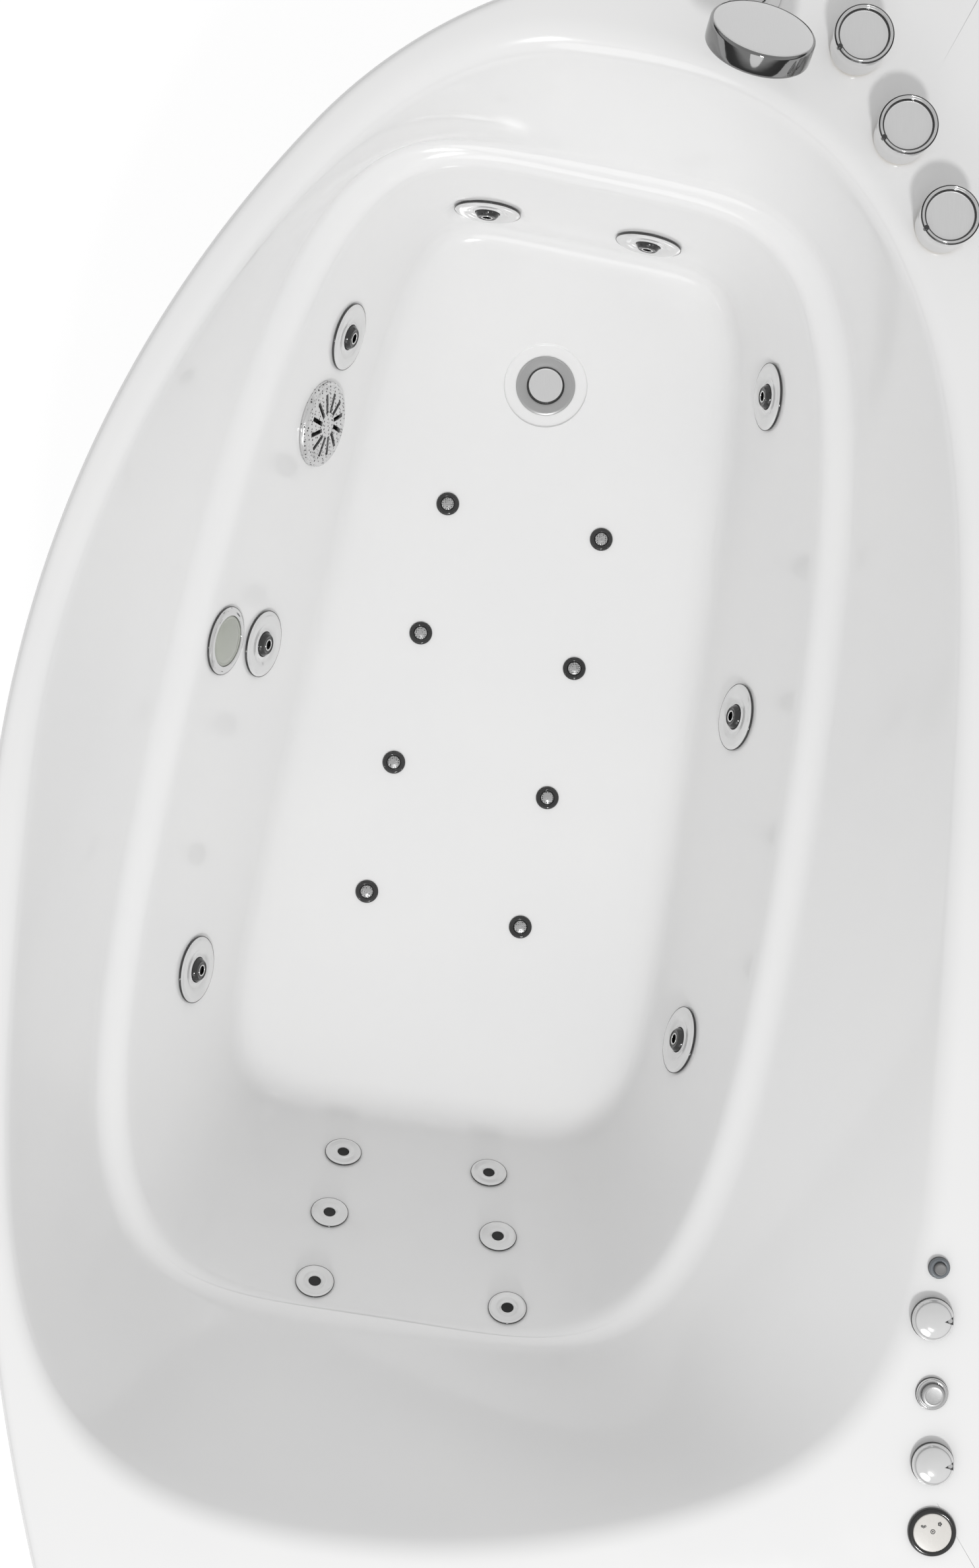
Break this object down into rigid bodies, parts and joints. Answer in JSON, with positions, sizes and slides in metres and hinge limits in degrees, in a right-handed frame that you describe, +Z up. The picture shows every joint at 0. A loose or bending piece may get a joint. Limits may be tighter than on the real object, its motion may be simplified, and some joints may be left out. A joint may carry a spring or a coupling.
{
  "type": "jetted bathtub",
  "caption": "Offset corner jetted bath with a curved front panel, chrome wall, back and floor jets, deck taps, hand shower, air controls and a pump and blower under the rim.",
  "frame": {"origin": "centre of the footprint of the bounding box, on the ground under the levelling feet", "axes": "+X towards the wide head end with the backrest, +Y towards the straight wall side with the controls, +Z up"},
  "size_m": [1.6, 1, 0.7074],
  "materials": {
    "acrylic": "gloss",
    "black_plastic": "gloss",
    "black_rubber": "matte",
    "board": "matte",
    "brass": "satin",
    "chrome": "polished",
    "frame_steel": "satin",
    "grey_plastic": "matte",
    "lens": "gloss",
    "motor_paint": "satin",
    "white_plastic": "satin",
    "zinc": "satin"
  },
  "bodies": {
    "bath": {"tub_shell": "acrylic", "jet_rings": "chrome", "jet_bodies": "white_plastic", "back_jet_covers": "chrome", "back_jet_bodies": "white_plastic", "floor_jet_bodies": "black_plastic", "floor_jet_caps": "chrome", "suction_cover": "chrome", "suction_body": "white_plastic", "lamp_bezel": "chrome", "lamp_lens": "lens", "lamp_housing": "black_plastic", "drain_flange": "chrome", "waste_trap": "white_plastic", "tap_valves": "brass", "shower_holder": "chrome", "lamp_button_bezel": "black_plastic", "pump_button_bezel": "chrome", "regulator_bodies": "chrome", "keypad_ring": "black_plastic", "keypad_face": "white_plastic", "frame_long_rails": "frame_steel", "frame_cross_rails": "frame_steel", "frame_uprights": "frame_steel", "foot_pads": "black_rubber", "foot_studs": "zinc", "base_board": "board", "front_apron": "acrylic", "pump_wet_end": "black_plastic", "pump_motor": "motor_paint", "pump_bracket": "frame_steel", "air_blower": "grey_plastic", "control_box": "grey_plastic", "suction_pipe": "white_plastic", "water_pipes": "white_plastic", "air_pipes": "white_plastic"},
    "hot_knob": {"hot_knob": "chrome"},
    "diverter_knob": {"diverter_knob": "chrome"},
    "cold_knob": {"cold_knob": "chrome"},
    "first_regulator_knob": {"first_regulator_knob": "chrome"},
    "second_regulator_knob": {"second_regulator_knob": "chrome"},
    "jet_nozzle_front_foot": {"jet_nozzle_front_foot": "chrome"},
    "jet_nozzle_front_middle": {"jet_nozzle_front_middle": "chrome"},
    "jet_nozzle_front_head": {"jet_nozzle_front_head": "chrome"},
    "jet_nozzle_wall_foot": {"jet_nozzle_wall_foot": "chrome"},
    "jet_nozzle_wall_middle": {"jet_nozzle_wall_middle": "chrome"},
    "jet_nozzle_wall_head": {"jet_nozzle_wall_head": "chrome"},
    "jet_nozzle_foot_near": {"jet_nozzle_foot_near": "chrome"},
    "jet_nozzle_foot_far": {"jet_nozzle_foot_far": "chrome"},
    "drain_plug": {"drain_plug": "chrome"},
    "hand_shower": {"hand_shower": "chrome"},
    "lamp_button": {"lamp_button": "black_plastic"},
    "pump_button": {"pump_button": "chrome"}
  },
  "joints": [
    {"name": "hot_turn", "type": "hinge", "parent": "bath", "child": "hot_knob", "pos_m": [-0.712, 0.356, 0.61], "axis": [0, 0, 1], "range_deg": [0, 90]},
    {"name": "diverter_turn", "type": "hinge", "parent": "bath", "child": "diverter_knob", "pos_m": [-0.626, 0.398, 0.61], "axis": [0, 0, 1], "range_deg": [0, 90]},
    {"name": "cold_turn", "type": "hinge", "parent": "bath", "child": "cold_knob", "pos_m": [-0.54, 0.438, 0.61], "axis": [0, 0, 1], "range_deg": [0, 90]},
    {"name": "first_regulator_turn", "type": "hinge", "parent": "bath", "child": "first_regulator_knob", "pos_m": [0.518, 0.429, 0.59], "axis": [0, 0, 1], "range_deg": [0, 180]},
    {"name": "second_regulator_turn", "type": "hinge", "parent": "bath", "child": "second_regulator_knob", "pos_m": [0.658, 0.429, 0.59], "axis": [0, 0, 1], "range_deg": [0, 180]},
    {"name": "jet_nozzle_front_foot_swivel", "type": "hinge", "parent": "bath", "child": "jet_nozzle_front_foot", "pos_m": [-0.49921, -0.15658, 0.27067], "axis": [-0.9397, 0.342, 0], "range_deg": [-15, 15]},
    {"name": "jet_nozzle_front_middle_swivel", "type": "hinge", "parent": "bath", "child": "jet_nozzle_front_middle", "pos_m": [-0.15648, -0.25229, 0.27088], "axis": [-0.9723, 0.2336, 0], "range_deg": [-15, 15]},
    {"name": "jet_nozzle_front_head_swivel", "type": "hinge", "parent": "bath", "child": "jet_nozzle_front_head", "pos_m": [0.20731, -0.32698, 0.27084], "axis": [-0.9906, 0.1369, 0], "range_deg": [-15, 15]},
    {"name": "jet_nozzle_wall_foot_swivel", "type": "hinge", "parent": "bath", "child": "jet_nozzle_wall_foot", "pos_m": [-0.435, 0.31259, 0.25665], "axis": [1, -0.0018, 0], "range_deg": [-15, 15]},
    {"name": "jet_nozzle_wall_middle_swivel", "type": "hinge", "parent": "bath", "child": "jet_nozzle_wall_middle", "pos_m": [-0.07531, 0.27652, 0.25688], "axis": [0.9901, -0.1405, 0], "range_deg": [-15, 15]},
    {"name": "jet_nozzle_wall_head_swivel", "type": "hinge", "parent": "bath", "child": "jet_nozzle_wall_head", "pos_m": [0.28746, 0.21289, 0.25679], "axis": [0.9716, -0.2368, 0], "range_deg": [-15, 15]},
    {"name": "jet_nozzle_foot_near_swivel", "type": "hinge", "parent": "bath", "child": "jet_nozzle_foot_near", "pos_m": [-0.64984, -0.00228, 0.23004], "axis": [0.1163, 0.9932, 0], "range_deg": [-15, 15]},
    {"name": "jet_nozzle_foot_far_swivel", "type": "hinge", "parent": "bath", "child": "jet_nozzle_foot_far", "pos_m": [-0.61287, 0.18049, 0.23005], "axis": [0.2111, 0.9775, 0], "range_deg": [-15, 15]},
    {"name": "plug_lift", "type": "slide", "parent": "bath", "child": "drain_plug", "axis": [0, 0, 1], "range_m": [0, 0.009]},
    {"name": "shower_lift", "type": "slide", "parent": "bath", "child": "hand_shower", "axis": [0, 0, 1], "range_m": [0, 0.12]},
    {"name": "lamp_button_press", "type": "slide", "parent": "bath", "child": "lamp_button", "axis": [0, 0, -1], "range_m": [0, 0.004], "stiffness_N_per_m": 400, "springref_m": -0.002},
    {"name": "pump_button_press", "type": "slide", "parent": "bath", "child": "pump_button", "axis": [0, 0, -1], "range_m": [0, 0.004], "stiffness_N_per_m": 400, "springref_m": -0.002}
  ]
}
